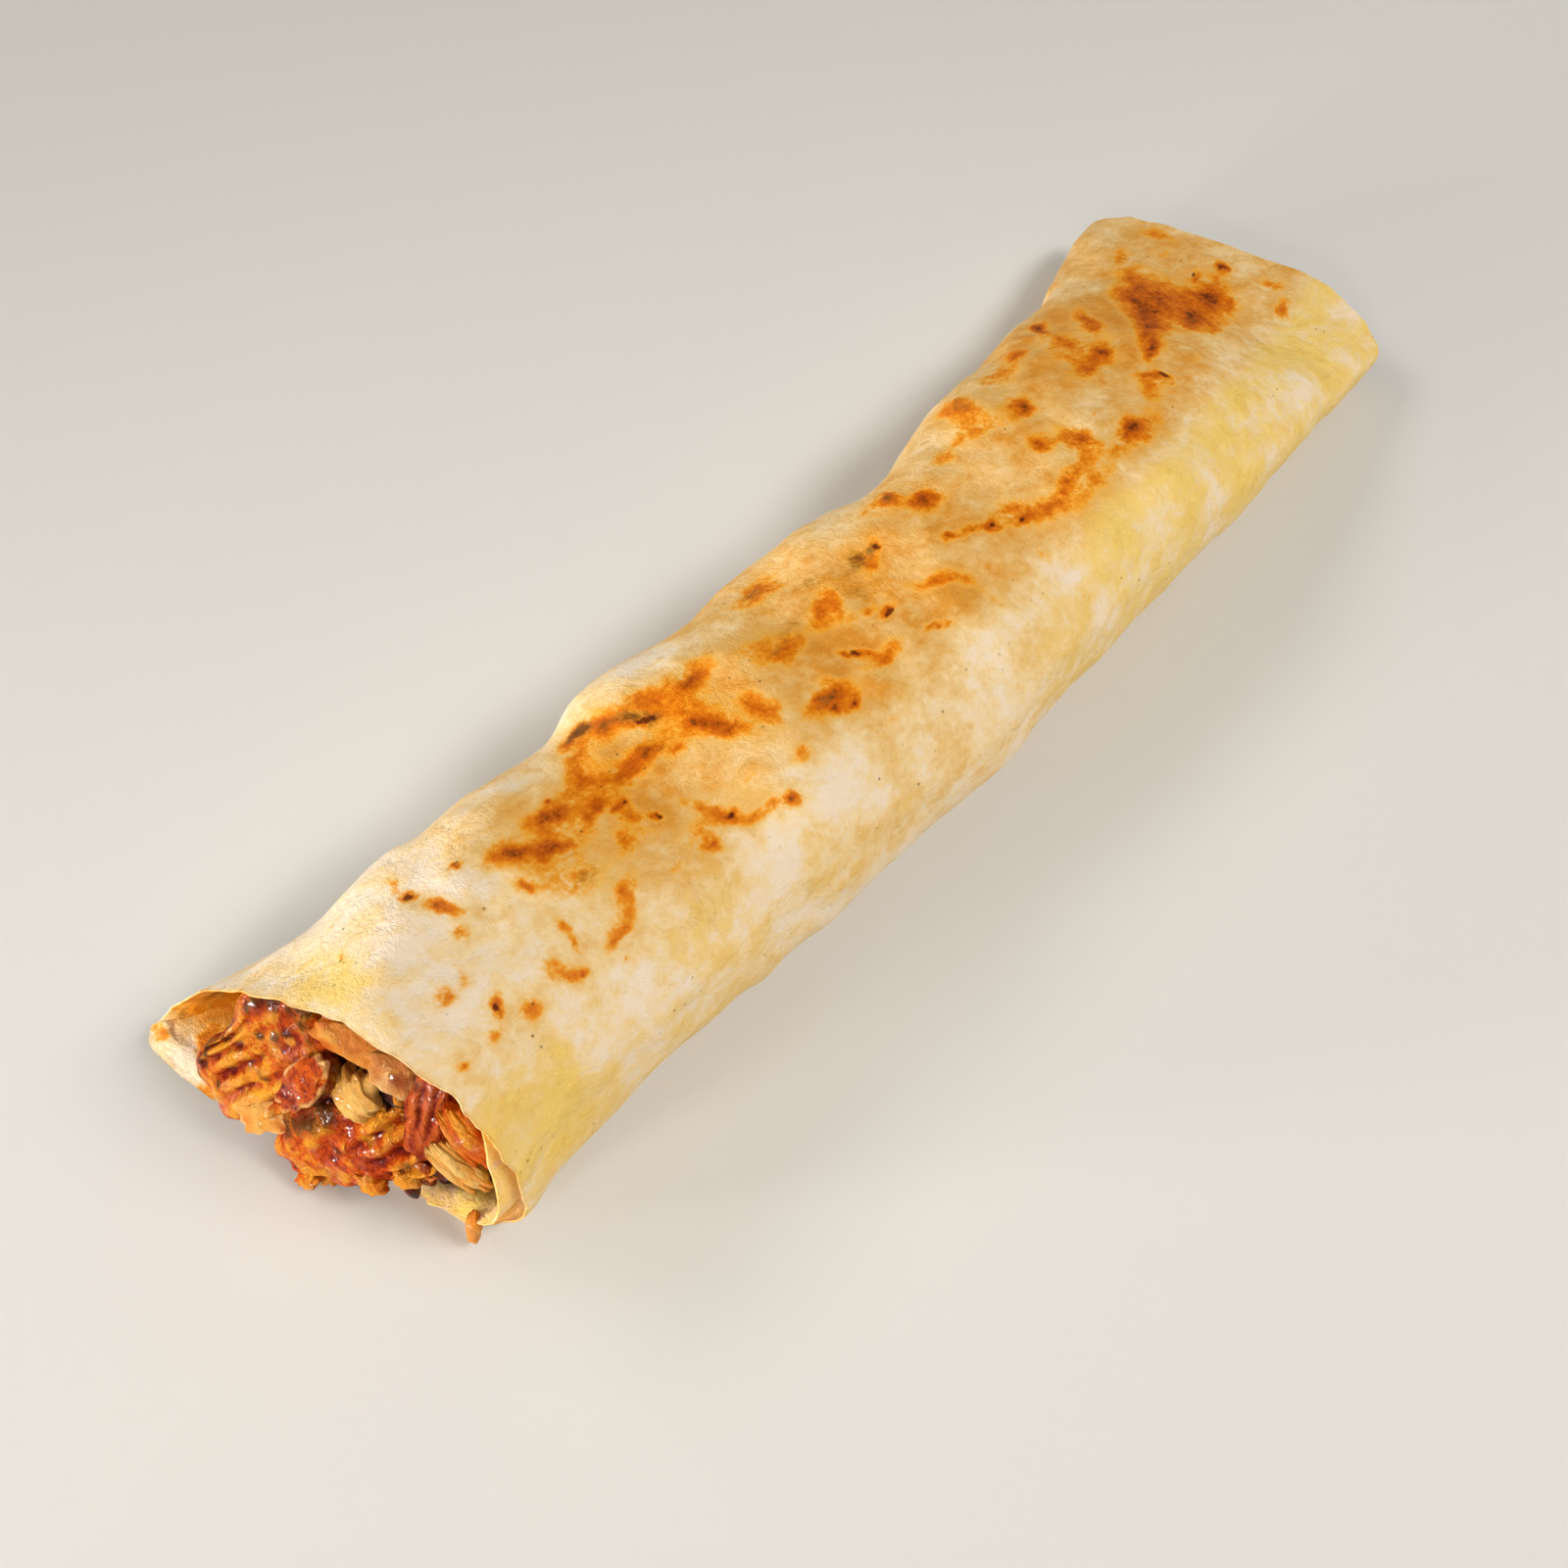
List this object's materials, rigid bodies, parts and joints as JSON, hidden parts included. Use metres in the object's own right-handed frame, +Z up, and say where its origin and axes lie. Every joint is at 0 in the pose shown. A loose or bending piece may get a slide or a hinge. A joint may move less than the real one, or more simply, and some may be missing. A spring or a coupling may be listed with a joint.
{
  "type": "doner wrap",
  "caption": "Rolled flatbread wrap with a scorched top, one open mouth full of sauced, ridged slices of chicken, and a pressed-flat far end; rests on its flat underside.",
  "frame": {"origin": "middle of the box that holds the wrap, in plan, at the surface it lies on", "axes": "+X runs along the roll from the open mouth to the pressed end, +Y to the left as seen from the mouth, +Z up"},
  "size_m": [0.3278, 0.0926, 0.0491],
  "materials": {
    "flatbread": "thin baked flatbread, pale cream with orange-brown scorch marks, matt",
    "filling": "heap of chopped chicken in orange-red sauce, wet",
    "grilled_meat": "ridged grilled chicken glazed with orange and maroon sauce, glossy",
    "pale_chicken": "pale cooked chicken with a thin orange glaze",
    "dark_meat": "dark maroon meat in thick sauce, glossy",
    "onion": "soft, half-clear cooked onion stained by the sauce",
    "orange_shreds": "orange-yellow shreds of chicken, oily"
  },
  "bodies": {
    "root": {"flatbread": "flatbread", "filling": "filling", "meat_slab_left": "grilled_meat", "meat_slab_right": "grilled_meat", "meat_flake": "pale_chicken", "meat_leaf": "grilled_meat", "meat_strip_dark": "dark_meat", "chicken_chunk": "pale_chicken", "chicken_slice": "pale_chicken", "onion_piece": "onion", "meat_shred_upper": "orange_shreds", "meat_shred_lower": "orange_shreds", "meat_shred_hanging": "orange_shreds"}
  },
  "joints": []
}
